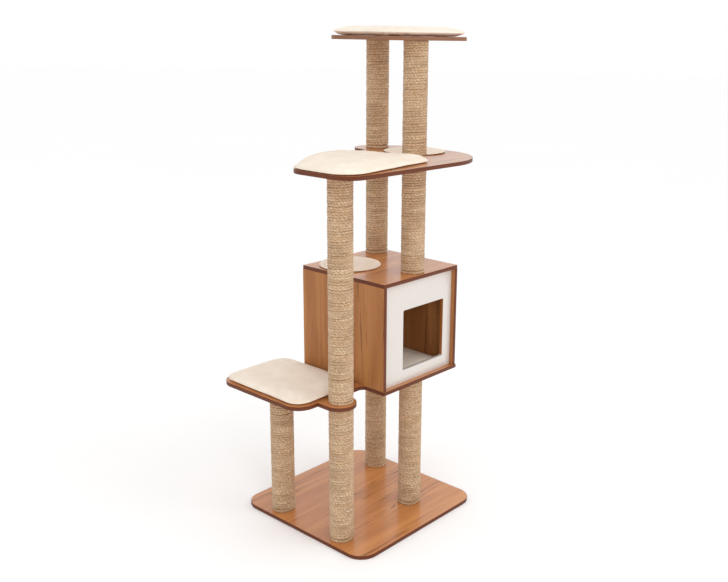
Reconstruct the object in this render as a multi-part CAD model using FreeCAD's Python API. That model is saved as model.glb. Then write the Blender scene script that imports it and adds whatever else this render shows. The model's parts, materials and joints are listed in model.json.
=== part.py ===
"""Tall cat tree: a base, sisal posts, a shelf with a cube house, a middle perch and a top perch.

Millimetres, +Z up. The origin is the centre of the base's underside, on the floor, and the
front of the cube house faces -Y.
"""
import FreeCAD, Part
import math
import os

V = FreeCAD.Vector

# Boards: laminated chipboard with a glued edge band
base_size = 560.0
base_corner_radius = 60.0
board_thickness = 12.0
band_thickness = 1.0

# Posts: a cardboard tube wound with sisal, a wooden plug in each end
post_radius = 38.4
wrap_thickness = 3.6
core_wall = 4.0
plug_thickness = 22.0
left_post_x = -225.0
right_post_x = 225.0
near_post_x = 99.0
back_post_y = 138.0
front_post_y = -137.0

# Heights
leg_height = 450.0
tower_post_height = 350.0
perch_post_height = 355.0
cube_wall_height = 336.0

# Cube house
cube_left = -86.0
cube_width = 358.0
cube_front = -185.0
cube_depth = 363.0
floor_overhang = 2.5
roof_corner_radius = 2.0
panel_thickness = 12.0
front_panel_recess = 15.0
door_width = 199.0
door_height = 200.0
door_corner_radius = 5.0
door_side_margin = 41.0
door_bottom_margin = 41.0

# Shelf in front of the cube's left side, with a lobe round the tower post
shelf_left = -362.0
shelf_front = -95.0
shelf_back = 283.0
shelf_corner_radius = 58.0
shelf_inner_corner_radius = 50.0
shelf_throat_radius = 18.0
shelf_joint_radius = 1.0
lobe_margin = 13.0
lobe_shift = -6.0

# Middle perch
perch_left = -337.0
perch_right = 337.0
perch_front = -285.0
perch_back = 155.0
perch_corner_radius = 65.0
perch_nose_radius = 200.0
perch_slant_start_y = -57.0
perch_slant_x = -165.0
perch_slant_y = 70.0
perch_slant_radius = 120.0
perch_back_radius = 60.0
perch_lobe_margin = 38.0

# Top perch
top_left = -52.0
top_right = 312.0
top_front = -190.0
top_back = 195.0
top_corner_radius = 49.0
top_slant_x = 140.0
top_slant_y = 80.0
top_slant_radius = 80.0

# Cushions and pads
shelf_cushion_thickness = 18.0
middle_cushion_thickness = 24.0
cabin_cushion_thickness = 24.0
top_cushion_thickness = 29.0
pad_thickness = 8.0
pad_radius = 100.0
top_cushion_margin = 5.0
shelf_cushion_margin = 9.0
middle_cushion_margin = 2.0
cabin_cushion_radius = 25.0
cabin_cushion_gap = 4.0
soft_gap = 0.3
roof_pad_x = 24.0
roof_pad_y = 70.0
perch_pad_x = 226.0
perch_pad_y = -28.0
middle_cushion_tip_past_post = 21.4
middle_cushion_tip_before_post = 52.6
middle_cushion_back_before_post = 80.6
middle_cushion_back_y = 74.0
middle_cushion_tip_radius = 34.0
middle_cushion_back_radius = 80.0

# Hook-and-loop patches under the cushions
patch_radius = 20.0
patch_thickness = 1.2
patch_clearance = 1.0
shelf_patches = [(-300.0, -20.0), (-150.0, -20.0), (-300.0, 215.0), (-150.0, 215.0)]
middle_patches = [(-270.0, -190.0), (-150.0, -225.0), (-150.0, -30.0), (0.0, -140.0)]
top_patches = [(20.0, -120.0), (235.0, -120.0), (20.0, 60.0), (235.0, 60.0)]

# Bolts, washers, studs and dowels
bolt_radius = 4.0
bolt_grip = 18.0
bolt_head_radius = 7.5
bolt_head_height = 4.5
washer_radius = 12.0
washer_thickness = 1.5
bolt_hole_clearance = 0.25
counterbore_depth = 7.0
head_pocket_clearance = 1.5
dowel_radius = 3.0
dowel_in_panel = 8.0
dowel_in_wall = 14.0
dowel_inset = 60.0

# Levels, from the floor up
base_top = board_thickness
shelf_bottom = base_top + leg_height
shelf_top = shelf_bottom + board_thickness
roof_bottom = shelf_top + cube_wall_height
roof_top = roof_bottom + board_thickness
tower_joint = shelf_top + tower_post_height
perch_bottom = tower_joint + tower_post_height
perch_top = perch_bottom + board_thickness
roof_post_height = perch_bottom - roof_top
top_bottom = perch_top + perch_post_height
top_top = top_bottom + board_thickness

# Cube faces
cube_right = cube_left + cube_width
cube_back = cube_front + cube_depth
cabin_left = cube_left + panel_thickness
cabin_right = cube_right - panel_thickness
cabin_back = cube_back - panel_thickness
panel_front = cube_front + front_panel_recess
cabin_front = panel_front + panel_thickness
door_right = cabin_right - door_side_margin
door_left = door_right - door_width
door_bottom = shelf_top + door_bottom_margin

# The middle cushion passes in front of the near post, so it is placed from the post's sides
near_post_left = near_post_x - post_radius
middle_cushion_tip_x = near_post_left + middle_cushion_tip_past_post
middle_cushion_tip_y = front_post_y - post_radius - middle_cushion_tip_before_post
middle_cushion_back_x = near_post_left - middle_cushion_back_before_post

core_radius = post_radius - wrap_thickness
plug_radius = core_radius - core_wall
stud_hole_radius = bolt_radius + bolt_hole_clearance

back_left = (left_post_x, back_post_y)
front_left = (left_post_x, front_post_y)
back_right = (right_post_x, back_post_y)
front_near = (near_post_x, front_post_y)

# Each post: plan position, underside and height
posts = {
    "back_left_leg": (back_left, base_top, leg_height),
    "front_left_leg": (front_left, base_top, leg_height),
    "back_right_leg": (back_right, base_top, leg_height),
    "front_right_leg": (front_near, base_top, leg_height),
    "lower_tower_post": (front_left, shelf_top, tower_post_height),
    "upper_tower_post": (front_left, tower_joint, tower_post_height),
    "back_roof_post": (back_right, roof_top, roof_post_height),
    "front_roof_post": (front_near, roof_top, roof_post_height),
    "back_perch_post": (back_right, perch_top, perch_post_height),
    "front_perch_post": (front_near, perch_top, perch_post_height),
}

made = {}


def box(x0, x1, y0, y1, z0, z1):
    """Block between two corners."""
    return Part.makeBox(x1 - x0, y1 - y0, z1 - z0, V(x0, y0, z0))


def disc(at, radius, z0, z1):
    """Upright cylinder at a plan position."""
    return Part.makeCylinder(radius, z1 - z0, V(at[0], at[1], z0), V(0, 0, 1))


def rounded_face(corners):
    """Flat face at z = 0 from corners (x, y, radius), given anticlockwise."""
    starts = []
    ends = []
    middles = []
    count = len(corners)
    for i in range(count):
        x, y, radius = corners[i]
        corner = V(x, y, 0)
        before = V(corners[i - 1][0], corners[i - 1][1], 0)
        after = V(corners[(i + 1) % count][0], corners[(i + 1) % count][1], 0)
        back = (before - corner).normalize()
        on = (after - corner).normalize()
        half = back.getAngle(on) / 2
        reach = radius / math.tan(half)
        bisector = (back + on).normalize()
        starts.append(corner + back * reach)
        ends.append(corner + on * reach)
        middles.append(corner + bisector * (radius / math.sin(half) - radius))
    edges = []
    for i in range(count):
        edges.append(Part.Arc(starts[i], middles[i], ends[i]).toShape())
        edges.append(Part.makeLine(ends[i], starts[(i + 1) % count]))
    return Part.Face(Part.Wire(edges))


def lift(face, z, thickness):
    """Solid plate from a flat face, standing on height z."""
    placed = face.copy()
    placed.translate(V(0, 0, z))
    return placed.extrude(V(0, 0, thickness))


def round_upright_edges(solid, at, radius, reach=3.0):
    """Round the upright edges that stand near a plan position."""
    near = []
    for edge in solid.Edges:
        ends = [vertex.Point for vertex in edge.Vertexes]
        upright = len(ends) == 2 and math.hypot(ends[0].x - ends[1].x, ends[0].y - ends[1].y) < 0.01
        if upright and math.hypot(ends[0].x - at[0], ends[0].y - at[1]) < reach:
            near.append(edge)
    return solid.makeFillet(radius, near)


def joined(first, *others):
    """Union without leftover seams."""
    return first.multiFuse(list(others)).removeSplitter()


def banded(solid, z):
    """Board and edge band: the band is a thin strip all round the board's edge."""
    faces = [face for face in solid.Faces if abs(face.normalAt(0, 0).z + 1) < 1e-6]
    bottom = [face for face in faces if abs(face.CenterOfMass.z - z) < 1e-3][0]
    inner = Part.Face(bottom.OuterWire).makeOffset2D(-band_thickness)
    depth = solid.BoundBox.ZLength
    board = Part.Face(inner.OuterWire).extrude(V(0, 0, depth))
    return board, solid.cut(board)


def ring(at, outer, inner, z0, z1):
    """Upright tube."""
    return disc(at, outer, z0, z1).cut(disc(at, inner, z0 - 1, z1 + 1))


def bolt(at, head_z, way):
    """Bolt whose washer bears on head_z; way is +1 when it is driven upwards."""
    seat = head_z - way * washer_thickness
    tip = head_z + way * (board_thickness + bolt_grip)
    head = disc(at, bolt_head_radius, *sorted((seat, seat - way * bolt_head_height)))
    return joined(head, disc(at, bolt_radius, *sorted((seat, tip))))


def washer(at, head_z, way):
    """Washer between the bolt head and the board."""
    return ring(at, washer_radius, stud_hole_radius, *sorted((head_z, head_z - way * washer_thickness)))


def keep(name, shape):
    """Hold a finished node."""
    made[name] = shape


def drilled(shape, places):
    """Bolt holes right through a board or plug."""
    for at in places:
        shape = shape.cut(disc(at, stud_hole_radius, shape.BoundBox.ZMin - 1, shape.BoundBox.ZMax + 1))
    return shape


# ---- Posts -------------------------------------------------------------------------------

plugs = []
for name, (at, z, height) in posts.items():
    keep(name + "_core", ring(at, core_radius, plug_radius, z, z + height))
    keep(name + "_wrap", ring(at, post_radius, core_radius, z, z + height))
    for low in (z, z + height - plug_thickness):
        plugs.append(ring(at, plug_radius, stud_hole_radius, low, low + plug_thickness))
keep("post_end_plugs", Part.makeCompound(plugs))

# ---- Base --------------------------------------------------------------------------------

half_base = base_size / 2
base_face = rounded_face([
    (-half_base, -half_base, base_corner_radius),
    (half_base, -half_base, base_corner_radius),
    (half_base, half_base, base_corner_radius),
    (-half_base, half_base, base_corner_radius),
])
base_places = [back_left, front_left, back_right, front_near]
board, band = banded(lift(base_face, 0, board_thickness), 0)
board = drilled(board, base_places)
for at in base_places:
    board = board.cut(disc(at, washer_radius + bolt_hole_clearance, -1, counterbore_depth))
keep("base_board", board)
keep("base_edge_band", band)

# ---- Shelf, which is also the floor of the cube house ------------------------------------

platform = lift(rounded_face([
    (shelf_left, shelf_front, shelf_corner_radius),
    (cube_left, shelf_front, shelf_joint_radius),
    (cube_left, shelf_back, shelf_inner_corner_radius),
    (shelf_left, shelf_back, shelf_corner_radius),
]), shelf_bottom, board_thickness)
cabin_floor = box(cube_left - 1, cube_right + floor_overhang, cube_front - floor_overhang,
                  cube_back + floor_overhang, shelf_bottom, shelf_top)
lobe_radius = post_radius + lobe_margin
lobe_x = left_post_x + lobe_shift
lobe = joined(
    disc((lobe_x, front_post_y), lobe_radius, shelf_bottom, shelf_top),
    box(lobe_x - lobe_radius, lobe_x + lobe_radius, front_post_y, shelf_front + 1,
        shelf_bottom, shelf_top),
)
shelf = round_upright_edges(joined(platform, cabin_floor), (cube_left - 1, shelf_front), shelf_throat_radius)
board, band = banded(joined(shelf, lobe), shelf_bottom)
shelf_places = [back_left, back_right, front_near, front_left]
board = drilled(board, shelf_places)

# ---- Cube house --------------------------------------------------------------------------

walls = {
    "cube_left_wall": box(cube_left, cabin_left, cube_front, cube_back, shelf_top, roof_bottom),
    "cube_right_wall": box(cabin_right, cube_right, cube_front, cube_back, shelf_top, roof_bottom),
    "cube_back_wall": box(cabin_left, cabin_right, cabin_back, cube_back, shelf_top, roof_bottom),
}
front_bands = []
for x0 in (cube_left, cabin_right):
    strip = box(x0, x0 + panel_thickness, cube_front, cube_front + band_thickness, shelf_top, roof_bottom)
    front_bands.append(strip)
walls["cube_left_wall"] = walls["cube_left_wall"].cut(front_bands[0])
walls["cube_right_wall"] = walls["cube_right_wall"].cut(front_bands[1])
keep("cube_wall_edge_bands", Part.makeCompound(front_bands))

door = box(door_left, door_left + door_width, panel_front - 1, cabin_front + 1,
           door_bottom, door_bottom + door_height)
door = door.makeFillet(door_corner_radius, [
    edge for edge in door.Edges
    if abs(edge.Vertexes[0].Point.y - edge.Vertexes[1].Point.y) > 1
])
front_panel = box(cabin_left, cabin_right, panel_front, cabin_front, shelf_top, roof_bottom).cut(door)

roof_face = rounded_face([
    (cube_left, cube_front, roof_corner_radius),
    (cube_right, cube_front, roof_corner_radius),
    (cube_right, cube_back, roof_corner_radius),
    (cube_left, cube_back, roof_corner_radius),
])
roof, roof_band = banded(lift(roof_face, roof_bottom, board_thickness), roof_bottom)
roof_places = [back_right, front_near]
roof = drilled(roof, roof_places)

# Dowels: upright ones join the walls to the floor and the roof, level ones hold the front
# panel and the back wall between the side walls
dowel_length = dowel_in_panel + dowel_in_wall
dowels = []
dowel_spots = []
for x in (cube_left + panel_thickness / 2, cube_right - panel_thickness / 2):
    for y in (cube_front + dowel_inset, cube_back - dowel_inset):
        dowel_spots.append((x, y))
for x in (cabin_left + dowel_inset, cabin_right - dowel_inset):
    dowel_spots.append((x, cube_back - panel_thickness / 2))
for spot in dowel_spots:
    dowels.append(disc(spot, dowel_radius, shelf_top - dowel_in_panel, shelf_top + dowel_in_wall))
    dowels.append(disc(spot, dowel_radius, roof_bottom - dowel_in_wall, roof_bottom + dowel_in_panel))
for y in (panel_front + panel_thickness / 2, cabin_back + panel_thickness / 2):
    for z in (shelf_top + dowel_inset, roof_bottom - dowel_inset):
        for x0 in (cabin_left - dowel_in_panel, cabin_right - dowel_in_wall):
            dowels.append(Part.makeCylinder(dowel_radius, dowel_length, V(x0, y, z), V(1, 0, 0)))
all_dowels = Part.makeCompound(dowels)

keep("shelf_board", board.cut(all_dowels))
keep("shelf_edge_band", band)
for name, wall in walls.items():
    keep(name, wall.cut(all_dowels))
keep("cube_front_panel", front_panel.cut(all_dowels))
keep("cube_roof", roof.cut(all_dowels))
keep("cube_roof_edge_band", roof_band)
keep("cube_dowels", all_dowels)

# ---- Middle perch: a leaf-shaped board with a lobe round the back roof post ---------------

perch_plate = lift(rounded_face([
    (perch_left, perch_front, perch_corner_radius),
    (perch_right, perch_front, perch_nose_radius),
    (perch_right, perch_back, perch_back_radius),
    (perch_slant_x, perch_slant_y, perch_slant_radius),
    (perch_left, perch_slant_start_y, perch_corner_radius),
]), perch_bottom, board_thickness)
perch_lobe = disc(back_right, post_radius + perch_lobe_margin, perch_bottom, perch_top)
board, band = banded(joined(perch_plate, perch_lobe), perch_bottom)
keep("middle_perch_board", drilled(board, [front_left, back_right, front_near]))
keep("middle_perch_edge_band", band)

# ---- Top perch ---------------------------------------------------------------------------

top_outline = [
    (top_left, top_front, top_corner_radius),
    (top_right, top_front, top_corner_radius),
    (top_right, top_back, top_corner_radius),
    (top_slant_x, top_back, top_slant_radius),
    (top_left, top_slant_y, top_corner_radius),
]
board, band = banded(lift(rounded_face(top_outline), top_bottom, board_thickness), top_bottom)
keep("top_perch_board", drilled(board, [back_right, front_near]))
keep("top_perch_edge_band", band)

# ---- Bolts and studs ---------------------------------------------------------------------

bolt_sets = [
    (counterbore_depth, 1, base_places),
    (shelf_top, -1, [back_left, back_right, front_near]),
    (roof_bottom, 1, roof_places),
    (perch_top, -1, [front_left]),
    (top_top, -1, [back_right, front_near]),
]
bolts = []
washers = []
for z, way, places in bolt_sets:
    for at in places:
        bolts.append(bolt(at, z, way))
        washers.append(washer(at, z, way))
keep("post_bolts", Part.makeCompound(bolts))
keep("post_washers", Part.makeCompound(washers))
keep("through_studs", Part.makeCompound([
    disc(front_left, bolt_radius, shelf_bottom - bolt_grip, shelf_top + bolt_grip),
    disc(back_right, bolt_radius, perch_bottom - bolt_grip, perch_top + bolt_grip),
    disc(front_near, bolt_radius, perch_bottom - bolt_grip, perch_top + bolt_grip),
]))
keep("tower_stud", disc(front_left, bolt_radius, tower_joint - bolt_grip, tower_joint + bolt_grip))

# ---- Cushions, pads and their fixing patches ---------------------------------------------


def soft(face, z, thickness, bolts, patches):
    """Cushion on a board at height z, hollowed below for bolt heads and fixing patches."""
    body = lift(face, z + soft_gap, thickness - soft_gap)
    edges = [edge for edge in body.Edges if abs(edge.CenterOfMass.z - z - thickness) < 0.01]
    body = body.makeFillet(thickness / 3, edges)
    head_room = washer_thickness + bolt_head_height + head_pocket_clearance
    for at in bolts:
        body = body.cut(disc(at, washer_radius + head_pocket_clearance, z, z + head_room))
    for at in patches:
        body = body.cut(disc(at, patch_radius + patch_clearance, z, z + 2 * patch_thickness + soft_gap))
    return body


def hook_patches(z, patches):
    """Hook halves, glued to the board."""
    return [disc(at, patch_radius, z, z + patch_thickness) for at in patches]


def loop_patches(z, patches):
    """Loop halves, sewn to the cushion above them."""
    low = z + patch_thickness + soft_gap
    return Part.makeCompound([disc(at, patch_radius, low, low + patch_thickness) for at in patches])


shelf_cushion_radius = shelf_corner_radius - shelf_cushion_margin
shelf_cushion_left = shelf_left + shelf_cushion_margin
shelf_cushion_right = cube_left - shelf_cushion_margin
shelf_cushion_front = shelf_front + shelf_cushion_margin
shelf_cushion_back = shelf_back - shelf_cushion_margin
shelf_cushion_face = rounded_face([
    (shelf_cushion_left, shelf_cushion_front, shelf_cushion_radius),
    (shelf_cushion_right, shelf_cushion_front, shelf_cushion_radius),
    (shelf_cushion_right, shelf_cushion_back, shelf_cushion_radius),
    (shelf_cushion_left, shelf_cushion_back, shelf_cushion_radius),
])
middle_cushion_radius = perch_corner_radius - middle_cushion_margin
middle_cushion_left = perch_left + middle_cushion_margin
middle_cushion_face = rounded_face([
    (middle_cushion_left, perch_front + middle_cushion_margin, middle_cushion_radius),
    (middle_cushion_tip_x, middle_cushion_tip_y, middle_cushion_tip_radius),
    (middle_cushion_back_x, middle_cushion_back_y, middle_cushion_back_radius),
    (perch_slant_x, perch_slant_y - middle_cushion_margin, perch_slant_radius),
    (middle_cushion_left, perch_slant_start_y - middle_cushion_margin, middle_cushion_radius),
])
top_cushion_face = rounded_face([
    (top_left + top_cushion_margin, top_front + top_cushion_margin, top_corner_radius),
    (top_right - top_cushion_margin, top_front + top_cushion_margin, top_corner_radius),
    (top_right - top_cushion_margin, top_back - top_cushion_margin, top_corner_radius),
    (top_slant_x, top_back - top_cushion_margin, top_slant_radius),
    (top_left + top_cushion_margin, top_slant_y - top_cushion_margin, top_corner_radius),
])
cabin_cushion_face = rounded_face([
    (cabin_left + cabin_cushion_gap, cabin_front + cabin_cushion_gap, cabin_cushion_radius),
    (cabin_right - cabin_cushion_gap, cabin_front + cabin_cushion_gap, cabin_cushion_radius),
    (cabin_right - cabin_cushion_gap, cabin_back - cabin_cushion_gap, cabin_cushion_radius),
    (cabin_left + cabin_cushion_gap, cabin_back - cabin_cushion_gap, cabin_cushion_radius),
])
roof_pad_at = (roof_pad_x, roof_pad_y)
perch_pad_at = (perch_pad_x, perch_pad_y)


def round_pad_face(at):
    """Flat disc for a pad."""
    return Part.Face(Part.Wire(Part.makeCircle(pad_radius, V(at[0], at[1], 0))))


cushions = {
    "shelf_cushion": (shelf_cushion_face, shelf_top, shelf_cushion_thickness, [back_left], shelf_patches),
    "middle_cushion": (middle_cushion_face, perch_top, middle_cushion_thickness, [front_left], middle_patches),
    "top_cushion": (top_cushion_face, top_top, top_cushion_thickness, [back_right, front_near], top_patches),
    "roof_pad": (round_pad_face(roof_pad_at), roof_top, pad_thickness, [], [roof_pad_at]),
    "perch_pad": (round_pad_face(perch_pad_at), perch_top, pad_thickness, [], [perch_pad_at]),
}
hooks = []
for name, (face, z, thickness, bolts, patches) in cushions.items():
    keep(name, soft(face, z, thickness, bolts, patches))
    keep(name + "_loop_patches", loop_patches(z, patches))
    hooks.extend(hook_patches(z, patches))
keep("hook_patches", Part.makeCompound(hooks))
cabin_cushion = soft(cabin_cushion_face, shelf_top, cabin_cushion_thickness, [back_right, front_near], [])
keep("cabin_cushion", cabin_cushion)

os.makedirs("parts", exist_ok=True)
for name, shape in made.items():
    shape.exportStep("parts/" + name + ".step")
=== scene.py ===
import json
import math
import random

import bmesh
import bpy
from mathutils import Matrix, Vector, noise


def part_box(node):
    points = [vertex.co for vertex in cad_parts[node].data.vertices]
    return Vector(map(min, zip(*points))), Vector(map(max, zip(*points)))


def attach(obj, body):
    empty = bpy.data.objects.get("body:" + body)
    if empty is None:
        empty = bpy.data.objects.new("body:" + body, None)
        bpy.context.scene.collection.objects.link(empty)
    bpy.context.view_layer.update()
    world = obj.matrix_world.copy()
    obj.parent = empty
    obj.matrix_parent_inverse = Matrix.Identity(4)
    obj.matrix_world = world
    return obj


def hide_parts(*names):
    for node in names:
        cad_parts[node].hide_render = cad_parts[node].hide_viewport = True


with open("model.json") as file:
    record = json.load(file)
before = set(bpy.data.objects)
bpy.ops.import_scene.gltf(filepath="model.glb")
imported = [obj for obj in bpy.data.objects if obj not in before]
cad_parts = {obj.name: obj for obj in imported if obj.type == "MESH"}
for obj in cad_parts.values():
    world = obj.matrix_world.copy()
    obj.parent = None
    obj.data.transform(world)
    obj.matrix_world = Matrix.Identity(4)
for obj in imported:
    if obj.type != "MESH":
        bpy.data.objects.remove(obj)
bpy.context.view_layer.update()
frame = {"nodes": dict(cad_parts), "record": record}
nodes = frame["nodes"]

# ---- Base -----------------------------------------------------------------------------
# A square of 12 mm chipboard, faced with walnut-print melamine and rounded at its corners.
# A dark brown ABS band is glued round its edge. It lies flat on the floor and carries
# everything else.


def linear(code):
    """A hex sRGB colour as linear RGBA."""
    parts = [int(code[i:i + 2], 16) / 255 for i in (1, 3, 5)]
    return [p / 12.92 if p <= 0.04045 else ((p + 0.055) / 1.055) ** 2.4 for p in parts] + [1.0]


def add(tree, kind, feeds=None, **settings):
    """Adds one shader node; feeds maps its inputs to values or to other nodes' outputs."""
    made = tree.nodes.new("ShaderNode" + kind)
    for name, value in settings.items():
        setattr(made, name, value)
    for key, value in (feeds or {}).items():
        if isinstance(value, bpy.types.NodeSocket):
            tree.links.new(value, made.inputs[key])
        else:
            made.inputs[key].default_value = value
    return made


def finish_of(name, **shader):
    """A new material, its node tree and its shader, with the shader's fixed values set."""
    material = bpy.data.materials.new(name)
    material.use_nodes = True
    tree = material.node_tree
    surface = tree.nodes["Principled BSDF"]
    for key, value in shader.items():
        surface.inputs[key.replace("_", " ")].default_value = value
    return material, tree, surface


def walnut_laminate(name, along, inks, roughness, specular, overlay):
    """Walnut-print melamine with its grain along axis 0, 1 or 2, printed in six inks.

    The paper's print gives long soft bands, fine dark streaks and short pores. The clear
    melamine overlay is satin, so it mirrors the posts faintly and goes pale at a low angle.
    """
    material, tree, surface = finish_of(
        name, IOR=1.5, Roughness=roughness, Specular_IOR_Level=specular,
        Coat_Weight=overlay, Coat_Roughness=0.14)
    place = add(tree, "TexCoord").outputs["Object"]
    # Each layer's cell in mm: across the grain, along the grain
    layers = {
        "band": (70, 800), "figure": (38, 520), "streak": (7, 330),
        "line": (3.2, 110), "pore": (0.9, 14)}
    cells = {}
    for layer, (across, length) in layers.items():
        size = [1000 / across] * 3
        size[along] = 1000 / length
        cells[layer] = add(tree, "Mapping", {"Vector": place, "Scale": size}).outputs[0]
    # The grain wanders a little, as in a plain-sawn board. How far is given in each layer's cells
    wander = add(tree, "TexNoise", {"Vector": cells["band"], "Scale": 1.6, "Detail": 2.0})
    shift = add(tree, "VectorMath", {
        0: wander.outputs["Color"], 1: (0.5, 0.5, 0.5)}, operation="SUBTRACT")
    wanders = {"band": 0.5, "figure": 0.8, "streak": 3.0, "line": 9.0, "pore": 2.0}
    tone = {}
    for layer, strength in wanders.items():
        push = add(tree, "VectorMath", {0: shift.outputs[0], "Scale": strength}, operation="SCALE")
        where = add(tree, "VectorMath", {0: cells[layer], 1: push.outputs[0]}, operation="ADD")
        printed = add(tree, "TexNoise", {
            "Vector": where.outputs[0], "Scale": 1.0, "Detail": 4.0, "Roughness": 0.6})
        tone[layer] = printed.outputs["Fac"]
    # Dark lines gather in a few figured bands and leave calm wood between them
    figured = add(tree, "MapRange", {
        "Value": tone["figure"], "From Min": 0.53, "From Max": 0.64},
        interpolation_type="SMOOTHSTEP")
    colour = linear(inks[0])
    # Each ink: its layer, the tones where it starts and is full, its most cover, the ink, and
    # whether it keeps to the figured bands
    for layer, low, high, most, ink, gathered in (
        ("band", 0.32, 0.68, 1.0, inks[1], False),
        ("streak", 0.52, 0.72, 0.4, inks[2], False),
        ("streak", 0.5, 0.64, 0.7, inks[3], True),
        ("line", 0.55, 0.63, 0.8, inks[4], True),
        ("pore", 0.6, 0.7, 0.3, inks[5], False),
    ):
        share = add(tree, "MapRange", {
            "Value": tone[layer], "From Min": low, "From Max": high, "To Max": most},
            interpolation_type="SMOOTHSTEP").outputs[0]
        if gathered:
            share = add(tree, "Math", {
                0: share, 1: figured.outputs[0]}, operation="MULTIPLY").outputs[0]
        colour = add(tree, "Mix", {
            "Factor": share, 6: colour, 7: linear(ink)}, data_type="RGBA").outputs[2]
    tree.links.new(colour, surface.inputs["Base Color"])
    relief = add(tree, "Bump", {"Height": share, "Strength": 0.25, "Distance": 0.0002}, invert=True)
    tree.links.new(relief.outputs[0], surface.inputs["Normal"])
    return material


def dress(node, material):
    """Gives a CAD piece its finish."""
    data = nodes[node].data
    data.materials.clear()
    data.materials.append(material)


def smooth_piece(name, bm, material):
    """Turns a finished bmesh into a piece, smooth except at its hard edges."""
    data = bpy.data.meshes.new(name)
    bm.to_mesh(data)
    bm.free()
    data.materials.append(material)
    data.shade_smooth()
    data.set_sharp_from_angle(angle=math.radians(35))
    piece = bpy.data.objects.new(name, data)
    bpy.context.scene.collection.objects.link(piece)
    return piece


def eased(node, radius, material):
    """Stands for a hard-edged CAD piece with the same piece, its edges softened."""
    bm = bmesh.new()
    bm.from_mesh(nodes[node].data)
    bmesh.ops.remove_doubles(bm, verts=bm.verts, dist=0.000001)
    bmesh.ops.dissolve_limit(bm, angle_limit=math.radians(0.5), verts=bm.verts, edges=bm.edges)
    hard = [edge for edge in bm.edges
            if len(edge.link_faces) == 2 and edge.calc_face_angle() > math.radians(40)]
    bmesh.ops.bevel(bm, geom=hard, offset=radius, offset_type="OFFSET", affect="EDGES",
                    segments=2, profile=0.5, material=-1, clamp_overlap=True)
    piece = smooth_piece(node + "_eased", bm, material)
    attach(piece, "frame")
    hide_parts(node)
    return piece


def edge_band(name, dark, light):
    """ABS edge band: extruded and satin, with faint lengthwise streaks from its printing."""
    material, tree, surface = finish_of(name, IOR=1.5, Roughness=0.45, Specular_IOR_Level=0.25)
    place = add(tree, "TexCoord").outputs["Object"]
    stretch = add(tree, "Mapping", {"Vector": place, "Scale": (1000 / 60, 1000 / 60, 1000 / 1.5)})
    fleck = add(tree, "TexNoise", {"Vector": stretch.outputs[0], "Scale": 1.0, "Detail": 3.0})
    shade = add(tree, "Mix", {
        "Factor": fleck.outputs["Fac"], 6: linear(dark), 7: linear(light)}, data_type="RGBA")
    tree.links.new(shade.outputs[2], surface.inputs["Base Color"])
    relief = add(tree, "Bump", {
        "Height": fleck.outputs["Fac"], "Strength": 0.15, "Distance": 0.0003})
    tree.links.new(relief.outputs[0], surface.inputs["Normal"])
    return material


walnut = walnut_laminate("walnut_melamine_level", 0, (
    "#B57340", "#CE8C52", "#A1632F", "#84491F", "#56290F", "#7F4722"), 0.34, 0.45, 0.45)
edge_abs = edge_band("abs_edge_band", "#4E2412", "#743C20")
# The radius to which the glued band's corners are scraped, in metres
band_ease = 0.0007
dress("base_board", walnut)
eased("base_edge_band", band_ease, edge_abs)

# ---- Posts ----------------------------------------------------------------------------
# Ten cardboard tubes with a turned wooden plug in each end. Natural two-ply rope, 8 mm
# thick, is wound tightly round each tube and glued. The first and last turns lie level
# against the boards, and the rope's ends are tucked under.

# Kraft board: dull brown pulp, faintly mottled. The rope hides it.
kraft, tree, surface = finish_of("kraft_cardboard", Roughness=0.85)
place = add(tree, "TexCoord").outputs["Object"]
pulp = add(tree, "TexNoise", {"Vector": place, "Scale": 1000 / 2.5, "Detail": 5.0})
shade = add(tree, "Mix", {
    "Factor": pulp.outputs["Fac"], 6: linear("#8A6B4A"), 7: linear("#B08F66")}, data_type="RGBA")
tree.links.new(shade.outputs[2], surface.inputs["Base Color"])

# Bare pine: pale turned wood, with its growth rings seen as long streaks.
pine, tree, surface = finish_of("bare_pine", Roughness=0.6)
place = add(tree, "TexCoord").outputs["Object"]
stretch = add(tree, "Mapping", {"Vector": place, "Scale": (1000 / 3, 1000 / 3, 1000 / 60)})
ring = add(tree, "TexNoise", {"Vector": stretch.outputs[0], "Scale": 1.0, "Detail": 4.0})
shade = add(tree, "Mix", {
    "Factor": ring.outputs["Fac"], 6: linear("#B98F5C"), 7: linear("#E0C292")}, data_type="RGBA")
tree.links.new(shade.outputs[2], surface.inputs["Base Color"])

# Sisal rope: two dry, hard plies of undyed leaf fibre. The plies cast a groove along each
# turn. Loose fibres are painted pale, partly their own colour and partly painted highlight,
# and the grooves are painted darker as painted shade.
sisal, tree, surface = finish_of(
    "sisal_rope", Roughness=0.85, Sheen_Weight=0.15, Sheen_Roughness=0.5)
run = add(tree, "UVMap", uv_map="rope")
parts = add(tree, "SeparateXYZ", {0: run.outputs[0]})
plies = 2
wave = add(tree, "Math", {0: parts.outputs["Y"], 1: plies * math.tau}, operation="MULTIPLY")
ply = add(tree, "Math", {0: wave.outputs[0]}, operation="COSINE")
crown = add(tree, "MapRange", {"Value": ply.outputs[0], "From Min": -1.2, "From Max": 0.0})
# Fibres run along the plies: 8 mm long, and 16 of them round the rope
fibre_place = add(tree, "CombineXYZ", {
    "X": add(tree, "Math", {0: parts.outputs["X"], 1: 1000 / 8}, operation="MULTIPLY").outputs[0],
    "Y": add(tree, "Math", {0: parts.outputs["Y"], 1: 16.0}, operation="MULTIPLY").outputs[0]})
fibre = add(tree, "TexNoise", {
    "Vector": fibre_place.outputs[0], "Scale": 1.0, "Detail": 4.0, "Roughness": 0.65})
place = add(tree, "TexCoord").outputs["Object"]
# The fibre's shade changes every few turns, so each post has faint bands 30 mm or so high
bale_place = add(tree, "Mapping", {"Vector": place, "Scale": (1000 / 140, 1000 / 140, 1000 / 30)})
bale = add(tree, "TexNoise", {"Vector": bale_place.outputs[0], "Scale": 1.0, "Detail": 3.0})
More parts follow.
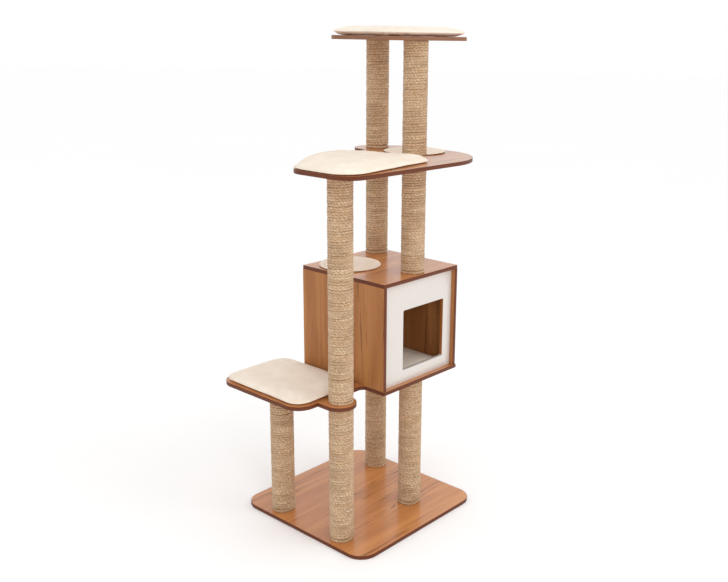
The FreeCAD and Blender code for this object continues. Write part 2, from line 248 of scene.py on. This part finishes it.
# Loose fibre ends lie in short tufts, a few mm long, that follow the turns
tuft_place = add(tree, "Mapping", {"Vector": place, "Scale": (1000 / 5, 1000 / 5, 1000 / 2.4)})
tuft = add(tree, "TexNoise", {
    "Vector": tuft_place.outputs[0], "Scale": 1.0, "Detail": 3.0, "Roughness": 0.7,
    "Distortion": 1.2})
# Along its length the rope darkens and pales every 110 mm or so
along_rope = add(tree, "CombineXYZ", {"X": parts.outputs["X"]})
length_tone = add(tree, "TexNoise", {
    "Vector": along_rope.outputs[0], "Scale": 1000 / 110, "Detail": 5.0})
straw = linear("#C39C74")
for factor, low, high, most, code in (
    (bale.outputs["Fac"], 0.35, 0.65, 1.0, "#D5B793"),
    (length_tone.outputs["Fac"], 0.42, 0.58, 0.8, "#9B7752"),
    (fibre.outputs["Fac"], 0.5, 0.68, 0.6, "#E6D2B2"),
    # The palest ink, on the loose tufts, is partly the fibre ends' own colour and partly painted
    # highlight
    (tuft.outputs["Fac"], 0.52, 0.64, 0.7, "#F4E4CC"),
    (tuft.outputs["Fac"], 0.48, 0.38, 0.65, "#88653F"),
):
    share = add(tree, "MapRange", {
        "Value": factor, "From Min": low, "From Max": high, "To Max": most})
    straw = add(tree, "Mix", {
        "Factor": share.outputs[0], 6: straw, 7: linear(code)}, data_type="RGBA").outputs[2]
# The grooves between the plies take a darker ink: painted shade
straw_and_painted_groove_shade = add(tree, "Mix", {
    "Factor": crown.outputs[0], 6: linear("#AB8660"), 7: straw}, data_type="RGBA")
tree.links.new(straw_and_painted_groove_shade.outputs[2], surface.inputs["Base Color"])
ragged = add(tree, "Math", {0: fibre.outputs["Fac"], 1: tuft.outputs["Fac"]}, operation="ADD")
height = add(tree, "Math", {0: ragged.outputs[0], 1: crown.outputs[0]}, operation="ADD")
relief = add(tree, "Bump", {"Height": height.outputs[0], "Strength": 0.8, "Distance": 0.0006})
tree.links.new(relief.outputs[0], surface.inputs["Normal"])


# The rope's sizes in metres: the climb of a turn and the length of one twist of its plies
rope_pitch = 0.008
rope_lay = 0.022
# It is pressed flat on the tube and against its neighbours: half its depth in metres, half its
# height as a share of a turn, and how far a ply stands out, as a share of the half depth
rope_half_depth = 0.0031
rope_half_height = 0.545
ply_bulge = 0.09
# Hand winding lets a turn stray, in metres: up with its slack, up with its gap, and outwards.
# Slack and twist drift from knot to knot, and the twist by these shares
slack_rise = 0.0004
gap_rise = 0.0009
slack_out = 0.0005
knots_per_turn = 3
twist_drift = (0.75, 1.3)
# The share of the first turn that lies level before the rope climbs
level_share = 0.7
rope_sides = 8
rope_steps = 112


def settle(piece):
    """Makes a piece's modifiers part of its mesh."""
    bpy.context.view_layer.update()
    settled = piece.evaluated_get(bpy.context.evaluated_depsgraph_get())
    shape = bpy.data.meshes.new_from_object(settled)
    piece.modifiers.clear()
    piece.data = shape
    return shape


def wound_rope(name, at, low, high, radius, seed):
    """One continuous rope, wound from the bottom of a post section to its top."""
    turns = round((high - low) / rope_pitch)
    pitch = (high - low) / turns
    reach = radius - rope_half_depth
    bm = bmesh.new()
    bmesh.ops.create_circle(bm, segments=rope_sides, radius=rope_half_depth)
    bmesh.ops.rotate(bm, verts=bm.verts, cent=(0, 0, 0),
                     matrix=Matrix.Rotation(math.pi / 2, 3, "X"))
    bmesh.ops.translate(bm, verts=bm.verts, vec=(reach, 0, 0))
    piece = smooth_piece(name, bm, sisal)
    wind = piece.modifiers.new("wind", "SCREW")
    wind.steps = rope_steps
    wind.render_steps = rope_steps
    wind.iterations = turns
    wind.screw_offset = pitch
    coil = settle(piece)
    dice = random.Random(seed)
    knots = (turns + 1) * knots_per_turn
    slack = [dice.uniform(-1, 1) for _ in range(knots)]
    spread = [dice.uniform(-1, 1) for _ in range(turns + 2)]
    even_twist = math.tau * reach / knots_per_turn / rope_lay
    twist = [0.0]
    for _ in range(knots):
        twist.append(twist[-1] + even_twist * dice.uniform(*twist_drift))
    start = dice.uniform(0, math.tau)
    places = []
    lays = []
    for step in range(turns * rope_steps + 1):
        turn = step / rope_steps
        # The first and last turns are level, and the rest climb
        climb = min(turn, turns - 1)
        if turn < 1:
            climb = max(0.0, (turn - level_share) / (1 - level_share))
            climb = climb * climb * (3 - 2 * climb)
        knot, mix = divmod(turn * knots_per_turn, 1)
        loose = slack[int(knot)] * (1 - mix) + slack[int(knot) + 1] * mix
        lay = twist[int(knot)] * (1 - mix) + twist[int(knot) + 1] * mix
        whole, part = divmod(turn, 1)
        gap = spread[int(whole)] * (1 - part) + spread[int(whole) + 1] * part
        lays.append(lay)
        angle = start + math.tau * turn
        rise = low + pitch * (0.5 + climb)
        rise += (loose * slack_rise + gap * gap_rise) * min(1.0, turn, turns - turn)
        for side in range(rope_sides):
            swing = math.tau * side / rope_sides
            lobe = 1 + ply_bulge * math.cos(plies * (swing - math.tau * lay))
            out = reach - rope_half_depth * math.cos(swing) * lobe + loose * slack_out
            swell = pitch * rope_half_height * math.sin(swing) * (0.5 + lobe / 2)
            places += (at[0] + out * math.cos(angle), at[1] + out * math.sin(angle), rise + swell)
    coil.vertices.foreach_set("co", places)
    # The map runs along the rope in metres, and round it in turns less the twist of its plies
    track = []
    corners = [0] * len(coil.loops)
    coil.loops.foreach_get("vertex_index", corners)
    for first in range(0, len(corners), 4):
        face = [divmod(index, rope_sides) for index in corners[first:first + 4]]
        wraps = max(side for _, side in face) > min(side for _, side in face) + 1
        for step, side in face:
            across = side + (rope_sides if wraps and side == 0 else 0)
            track += (math.tau * reach * step / rope_steps, across / rope_sides - lays[step])
    layer = coil.uv_layers.new(name="rope")
    layer.data.foreach_set("uv", track)
    bm = bmesh.new()
    bm.from_mesh(coil)
    bmesh.ops.holes_fill(bm, edges=bm.edges, sides=rope_sides)
    bmesh.ops.recalc_face_normals(bm, faces=bm.faces)
    bm.to_mesh(coil)
    bm.free()
    coil.shade_smooth()
    return piece


sections = sorted(name.removesuffix("_wrap") for name in nodes if name.endswith("_wrap"))
for seed, section in enumerate(sections):
    lowest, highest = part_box(section + "_wrap")
    middle = (lowest + highest) / 2
    radius = (highest.x - lowest.x) / 2
    rope = wound_rope(section + "_rope", middle, lowest.z, highest.z, radius, seed)
    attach(rope, "frame")
    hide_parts(section + "_wrap")
    dress(section + "_core", kraft)
dress("post_end_plugs", pine)

# ---- Shelf and cube house -------------------------------------------------------------
# The shelf, the lobe round the tower post and the cube house's floor are one board. The
# cube's walls and roof are the same laminate, doweled together, with the grain upright in
# the walls. The front is set back and is white melamine with a square doorway.

walnut_upright = walnut_laminate("walnut_melamine_upright", 2, (
    "#9C6438", "#B57B48", "#8A532B", "#70401F", "#4E2A15", "#6B3D20"), 0.42, 0.22, 0.0)

# White melamine: a pressed resin face, glossy, slightly warm, with a trace of orange peel.
# The sides and top of the doorway are banded in walnut, so they read as a thin brown
# reveal. Its sill is left white.
white_face, tree, surface = finish_of("white_melamine", IOR=1.5, Roughness=0.16)
spots = add(tree, "TexCoord").outputs
place = spots["Object"]
cloud = add(tree, "TexNoise", {"Vector": place, "Scale": 1000 / 120, "Detail": 2.0})
shade = add(tree, "Mix", {
    "Factor": cloud.outputs["Fac"], 6: linear("#D0C9C3"), 7: linear("#D6D0CA")}, data_type="RGBA")
# The doorway's middle and half size in x and in z, from the panel's corners inside its rim
panel_rim = 0.02
doorway = []
for axis in (0, 2):
    spans = [vertex.co[axis] for vertex in nodes["cube_front_panel"].data.vertices]
    first, last = min(spans) + panel_rim, max(spans) - panel_rim
    inner = [span for span in spans if first < span < last]
    doorway.append(((max(inner) + min(inner)) / 2, (max(inner) - min(inner)) / 2))
(door_x, door_half_width), (door_z, door_half_height) = doorway
# The reveal is what lies at the doorway's edge and looks neither forwards nor up
edge_play = 0.0003
offset = add(tree, "VectorMath", {0: place, 1: (door_x, 0, door_z)}, operation="SUBTRACT")
distance = add(tree, "VectorMath", {0: offset.outputs[0]}, operation="ABSOLUTE")
from_middle = add(tree, "SeparateXYZ", {0: distance.outputs[0]}).outputs
facing = add(tree, "SeparateXYZ", {0: spots["Normal"]}).outputs
frontal = add(tree, "Math", {0: facing["Y"]}, operation="ABSOLUTE")
reveal = None
for amount, limit in (
    (frontal.outputs[0], 0.6),
    (facing["Z"], 0.5),
    (from_middle["X"], door_half_width + edge_play),
    (from_middle["Z"], door_half_height + edge_play),
):
    below = add(tree, "Math", {0: amount, 1: limit}, operation="LESS_THAN").outputs[0]
    reveal = below if reveal is None else add(tree, "Math", {
        0: reveal, 1: below}, operation="MULTIPLY").outputs[0]
grain_place = add(tree, "Mapping", {"Vector": place, "Scale": (1000 / 3, 1000 / 3, 1000 / 60)})
grain = add(tree, "TexNoise", {"Vector": grain_place.outputs[0], "Scale": 1.0, "Detail": 3.0})
banded = add(tree, "Mix", {
    "Factor": grain.outputs["Fac"], 6: linear("#8A532B"), 7: linear("#B5713A")}, data_type="RGBA")
shade = add(tree, "Mix", {
    "Factor": reveal, 6: shade.outputs[2], 7: banded.outputs[2]}, data_type="RGBA")
tree.links.new(shade.outputs[2], surface.inputs["Base Color"])
peel = add(tree, "TexNoise", {"Vector": place, "Scale": 1000 / 2.5, "Detail": 2.0})
relief = add(tree, "Bump", {"Height": peel.outputs["Fac"], "Strength": 0.04, "Distance": 0.0003})
tree.links.new(relief.outputs[0], surface.inputs["Normal"])

# The cube's and the shelf's bands are thinner, so less is scraped off
thin_band_ease = band_ease * 0.6
panel_ease = 0.0008
dress("shelf_board", walnut)
dress("cube_roof", walnut)
for wall in ("cube_left_wall", "cube_right_wall", "cube_back_wall"):
    dress(wall, walnut_upright)
for strip in ("shelf_edge_band", "cube_roof_edge_band", "cube_wall_edge_bands"):
    eased(strip, thin_band_ease, edge_abs)
eased("cube_front_panel", panel_ease, white_face)
dress("cube_dowels", pine)

# ---- Upper perches --------------------------------------------------------------------
# The middle perch is a leaf-shaped board with a lobe round the back post. The top perch
# is a smaller board on two posts. Both are the same laminate and edge band, but the top
# perch's band is painted paler, as painted light.

# The top perch's band is painted paler than the others: painted light, for the brighter light it
# gets up high
perch_band_painted_lighter = edge_band("abs_edge_band_painted_lighter", "#6C4430", "#986C50")
for perch, band_finish in (("middle_perch", edge_abs), ("top_perch", perch_band_painted_lighter)):
    dress(perch + "_board", walnut)
    eased(perch + "_edge_band", band_ease, band_finish)

# ---- Bolts, washers and studs ---------------------------------------------------------
# Turned steel, zinc plated. Bolts and washers hold the posts to the boards, and studs join
# posts through a board. They hide under the base, the cushions and the cube's roof.

# Bright zinc plate: a light grey metal with a fine crystal mottle.
zinc, tree, surface = finish_of("zinc_plated_steel", Metallic=1.0, Roughness=0.35)
place = add(tree, "TexCoord").outputs["Object"]
crystal = add(tree, "TexNoise", {"Vector": place, "Scale": 1000 / 2, "Detail": 3.0})
shade = add(tree, "Mix", {
    "Factor": crystal.outputs["Fac"], 6: linear("#A9ABB0"), 7: linear("#CDCFD2")}, data_type="RGBA")
tree.links.new(shade.outputs[2], surface.inputs["Base Color"])
for fastener in ("post_bolts", "post_washers", "through_studs", "tower_stud"):
    dress(fastener, zinc)

# ---- Fixing patches -------------------------------------------------------------------
# Round hook-and-loop patches: the hook half is glued to the board and the loop half is
# sewn under the cushion.

# Nylon hook-and-loop: an off-white, matt ground of tiny tufts.
loops, tree, surface = finish_of("nylon_hook_and_loop", Roughness=0.9, Sheen_Weight=0.3)
place = add(tree, "TexCoord").outputs["Object"]
tuft = add(tree, "TexVoronoi", {"Vector": place, "Scale": 1000 / 1.6})
# The ground darkens away from each tuft's middle: painted shade in the hollows between tufts
shade = add(tree, "Mix", {
    "Factor": tuft.outputs["Distance"],
    6: linear("#EFE9DF"), 7: linear("#C9C0B2")}, data_type="RGBA")
tree.links.new(shade.outputs[2], surface.inputs["Base Color"])
relief = add(tree, "Bump", {
    "Height": tuft.outputs["Distance"], "Strength": 0.6, "Distance": 0.0008}, invert=True)
tree.links.new(relief.outputs[0], surface.inputs["Normal"])
for patch in [name for name in nodes if name.endswith("_patches")]:
    dress(patch, loops)

# ---- Cushions and pads ----------------------------------------------------------------
# Short-pile polyester plush in cream, sewn as a top and a bottom panel over foam, with a
# narrow welt in the seam. The four cushions are crowned; the two round pads are thin.

# Plush: a dense short pile that is nearly matt, glows slightly at its edges and shows
# faint brushed patches.
plush, tree, surface = finish_of(
    "cream_plush", Roughness=0.92, Sheen_Weight=0.2, Sheen_Roughness=0.45)
surface.inputs["Sheen Tint"].default_value = linear("#FFF6E8")
place = add(tree, "TexCoord").outputs["Object"]
brushed = add(tree, "TexNoise", {"Vector": place, "Scale": 1000 / 50, "Detail": 3.0})
pile = add(tree, "TexNoise", {
    "Vector": place, "Scale": 1000 / 1.8, "Detail": 3.0, "Roughness": 0.7})
patches = add(tree, "MapRange", {
    "Value": brushed.outputs["Fac"], "From Min": 0.35, "From Max": 0.65})
nap = add(tree, "Mix", {
    "Factor": patches.outputs[0], 6: linear("#EADCCA"), 7: linear("#F2E6D6")}, data_type="RGBA")
fluff = add(tree, "MapRange", {
    "Value": pile.outputs["Fac"], "From Min": 0.35, "From Max": 0.7, "To Max": 0.5})
tips = add(tree, "Mix", {
    "Factor": fluff.outputs[0], 6: nap.outputs[2], 7: linear("#F6EEE2")}, data_type="RGBA")
tree.links.new(tips.outputs[2], surface.inputs["Base Color"])
relief = add(tree, "Bump", {"Height": pile.outputs["Fac"], "Strength": 0.5, "Distance": 0.0009})
tree.links.new(relief.outputs[0], surface.inputs["Normal"])


# Sewn edges and panels stray in slow waves: the waves' length and reach in metres. Without a
# seed the noise would start from the clock and be another one in each run
noise.seed_set(5)
sway_length = 0.07
sway_reach = 0.0012
# Grain of the remeshed panels in metres, for a cushion and for anything thinner than the limit
cushion_voxel = 0.005
pad_voxel = 0.0035
pad_limit = 0.012
# The top panel slopes up to its crown in three steps: shares of the crown's width and rise
crown_steps = ((0.15, 0.5), (0.25, 0.3), (0.6, 0.2))
swelling_frames = 20
stitch_run = 0.008


def plan_outline(node):
    """A cushion's outline at mid-height, cut from its plain solid: a flat face, looking up."""
    lowest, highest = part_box(node)
    bm = bmesh.new()
    bm.from_mesh(nodes[node].data)
    bmesh.ops.remove_doubles(bm, verts=bm.verts, dist=0.00001)
    bmesh.ops.bisect_plane(bm, geom=bm.verts[:] + bm.edges[:] + bm.faces[:], dist=0.00001,
                           plane_co=(lowest + highest) / 2, plane_no=(0, 0, 1),
                           clear_inner=True, clear_outer=True)
    bmesh.ops.contextual_create(bm, geom=bm.edges[:])
    bm.normal_update()
    if bm.faces[:][0].normal.z < 0:
        bmesh.ops.reverse_faces(bm, faces=bm.faces)
    return bm


def sway(point):
    """How far a sewn edge or panel strays at a point, as soft goods do."""
    return noise.noise_vector(point * (1 / sway_length)) * sway_reach


def stuffed(node, seam_share, crown, tuck, loft, pressure, cap):
    """Sews up a cushion from two panels and swells it as cloth between its pinned seams."""
    lowest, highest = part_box(node)
    thick = highest.z - lowest.z
    seam = lowest.z + thick * seam_share
    top = highest.z + loft
    voxel = cushion_voxel if thick > pad_limit else pad_voxel
    bm = plan_outline(node)
    bmesh.ops.translate(bm, verts=bm.verts, vec=(0, 0, seam - voxel / 4 - bm.verts[:][0].co.z))
    under = bm.faces[:]
    grown = bmesh.ops.extrude_face_region(bm, geom=under)["geom"]
    over = [item for item in grown if isinstance(item, bmesh.types.BMFace)]
    bmesh.ops.translate(bm, verts=[item for item in grown if isinstance(item, bmesh.types.BMVert)],
                        vec=(0, 0, voxel / 2))
    bmesh.ops.recalc_face_normals(bm, faces=bm.faces)
    rise = top - seam - cap / 2
    for share_in, share_up in crown_steps:
        bmesh.ops.inset_region(bm, faces=over, thickness=crown * share_in,
                               depth=rise * share_up, use_even_offset=True)
    bmesh.ops.inset_region(bm, faces=under, thickness=tuck, depth=seam - voxel / 4 - lowest.z,
                           use_even_offset=True)
    piece = smooth_piece(node + "_cover", bm, plush)
    remesh = piece.modifiers.new("panels", "REMESH")
    remesh.mode = "VOXEL"
    remesh.voxel_size = voxel
    shape = settle(piece)
    sewn = piece.vertex_groups.new(name="sewn")
    near_seam = [vert.index for vert in shape.vertices if abs(vert.co.z - seam) < voxel / 2]
    sewn.add(near_seam, 1.0, "ADD")
    before = [vert.co.copy() for vert in shape.vertices]
    cloth = piece.modifiers.new("stuffing", "CLOTH")
    cloth.settings.use_pressure = True
    cloth.settings.uniform_pressure_force = pressure
    cloth.settings.effector_weights.gravity = 0
    cloth.settings.vertex_group_mass = "sewn"
    cloth.point_cache.frame_end = swelling_frames
    for step in range(1, swelling_frames + 1):
        bpy.context.scene.frame_set(step)
    blown = piece.evaluated_get(bpy.context.evaluated_depsgraph_get()).data
    for vert, now, then in zip(shape.vertices, blown.vertices, before):
        move = now.co - then
        if move.length > cap:
            move *= cap / move.length
        vert.co = then + move
    piece.modifiers.clear()
    piece.vertex_groups.clear()
    bpy.context.scene.frame_set(1)
    # The swollen top is brought to the cushion's height, and the underside lies flat
    tallest = max(vert.co.z for vert in shape.vertices)
    for vert in shape.vertices:
        if vert.co.z > seam:
            vert.co.z = seam + (vert.co.z - seam) * (top - seam) / (tallest - seam)
        vert.co += sway(vert.co)
        vert.co.z = max(vert.co.z, lowest.z)
    soften = piece.modifiers.new("foam", "SUBSURF")
    soften.levels = 1
    soften.render_levels = 1
    shape.shade_smooth()
    return piece


def welt(node, seam_share, radius):
    """The covered cord sewn into a cushion's seam: it follows the outline all round."""
    lowest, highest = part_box(node)
    seam = lowest.z + (highest.z - lowest.z) * seam_share
    bm = plan_outline(node)
    bmesh.ops.translate(bm, verts=bm.verts, vec=(0, 0, seam - bm.verts[:][0].co.z))
    bmesh.ops.inset_region(bm, faces=bm.faces[:], thickness=radius, use_even_offset=True)
    inner = max(bm.faces, key=lambda face: face.calc_area())
    line = bpy.data.curves.new(node + "_seam_line", "CURVE")
    line.dimensions = "3D"
    line.bevel_depth = radius
    line.bevel_resolution = 2
    stitch = line.splines.new("POLY")
    stops = []
    corners = [vert.co for vert in inner.verts]
    for here, there in zip(corners, corners[1:] + corners[:1]):
        pieces = max(1, round((there - here).length / stitch_run))
        stops += [here.lerp(there, part / pieces) for part in range(pieces)]
    bm.free()
    stitch.points.add(len(stops) - 1)
    for point, stop in zip(stitch.points, stops):
        point.co = (*(stop + sway(stop)), 1.0)
    stitch.use_cyclic_u = True
    drawn = bpy.data.objects.new(node + "_seam_line", line)
    bpy.context.scene.collection.objects.link(drawn)
    bm = bmesh.new()
    bm.from_mesh(bpy.data.meshes.new_from_object(drawn))
    bmesh.ops.recalc_face_normals(bm, faces=bm.faces)
    bpy.data.objects.remove(drawn)
    return smooth_piece(node + "_welt", bm, plush)


bodies = {
    node: body
    for body, members in frame["record"]["behaviour"]["bodies"].items()
    for node in members}
# Each cushion: the seam's height as a share of its thickness, the crown's width, the tuck below
# the seam, the loft over the foam, the pressure, the cap on swelling and the cord's radius. The
# pressure is Cloth's own, and the rest are in metres.
covers = {
    "shelf_cushion": (0.5, 0.034, 0.011, 0.004, 4.0, 0.005, 0.0014),
    "middle_cushion": (0.22, 0.024, 0.005, 0.002, 4.0, 0.006, 0.0015),
    "top_cushion": (0.42, 0.018, 0.012, 0.0, 4.0, 0.006, 0.0015),
    "cabin_cushion": (0.42, 0.018, 0.009, 0.002, 4.0, 0.006, 0.0015),
    "roof_pad": (0.45, 0.012, 0.003, 0.0, 2.0, 0.002, 0.001),
    "perch_pad": (0.45, 0.012, 0.003, 0.0, 2.0, 0.002, 0.001),
}
for node, (seam_share, crown, tuck, loft, pressure, cap, cord) in covers.items():
    cover = stuffed(node, seam_share, crown, tuck, loft, pressure, cap)
    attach(cover, bodies[node])
    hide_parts(node)
    edging = welt(node, seam_share, cord)
    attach(edging, bodies[node])

# ---- Studio ---------------------------------------------------------------------------
# A plain pale floor of matt paint, a bright even surround and two large soft lamps, one high
# on the right and one low on the left. The camera stands at the left front, above shelf height.

scene = bpy.context.scene
scene.view_settings.view_transform = "Standard"

floor_radius = 40
floor_gap = 0.0002
bm = bmesh.new()
bmesh.ops.create_circle(bm, cap_ends=True, segments=96, radius=floor_radius)
bmesh.ops.translate(bm, verts=bm.verts, vec=(0, 0, -floor_gap))
floor_paint, tree, surface = finish_of("pale_floor", Roughness=0.9)
place = add(tree, "TexCoord").outputs["Object"]
cloud = add(tree, "TexNoise", {"Vector": place, "Scale": 0.5})
shade = add(tree, "Mix", {
    "Factor": cloud.outputs["Fac"], 6: linear("#FDFDFD"), 7: linear("#FFFFFF")}, data_type="RGBA")
tree.links.new(shade.outputs[2], surface.inputs["Base Color"])
floor = smooth_piece("studio_floor", bm, floor_paint)

world = bpy.data.worlds.new("studio")
world.use_nodes = True
world.node_tree.nodes["Background"].inputs["Color"].default_value = (1, 1, 1, 1)
world.node_tree.nodes["Background"].inputs["Strength"].default_value = 1.0
scene.world = world

# Each lamp: its place, its width in metres and its power in watts. It leaves no mirror image
# of itself on the laminate
target = Vector((0, 0, 0.8))
for name, spot, size, power in (
    ("key", (1.6, -3.4, 3.4), 2.4, 26),
    ("fill", (-1.6, -2.4, 1.9), 1.0, 16),
):
    lamp = bpy.data.lights.new(name, "AREA")
    lamp.size = size
    lamp.energy = power
    holder = bpy.data.objects.new(name, lamp)
    aim = (Vector(spot) - target).to_track_quat("Z", "Y")
    holder.matrix_world = Matrix.Translation(spot) @ aim.to_matrix().to_4x4()
    holder.visible_glossy = False
    scene.collection.objects.link(holder)

lens = bpy.data.cameras.new("camera")
lens.sensor_width = 36.0
lens.lens = 45.08
lens.shift_x = -0.0671
lens.shift_y = -0.0204
lens.clip_end = 100
camera = bpy.data.objects.new("camera", lens)
camera.matrix_world = (
    Matrix.Translation((-2.0512, -1.9826, 1.5538))
    @ Matrix.Rotation(math.radians(-49.39), 4, "Z")
    @ Matrix.Rotation(math.radians(90 - 14.76), 4, "X")
    @ Matrix.Rotation(math.radians(0.93), 4, "Z")
)
scene.collection.objects.link(camera)
scene.camera = camera
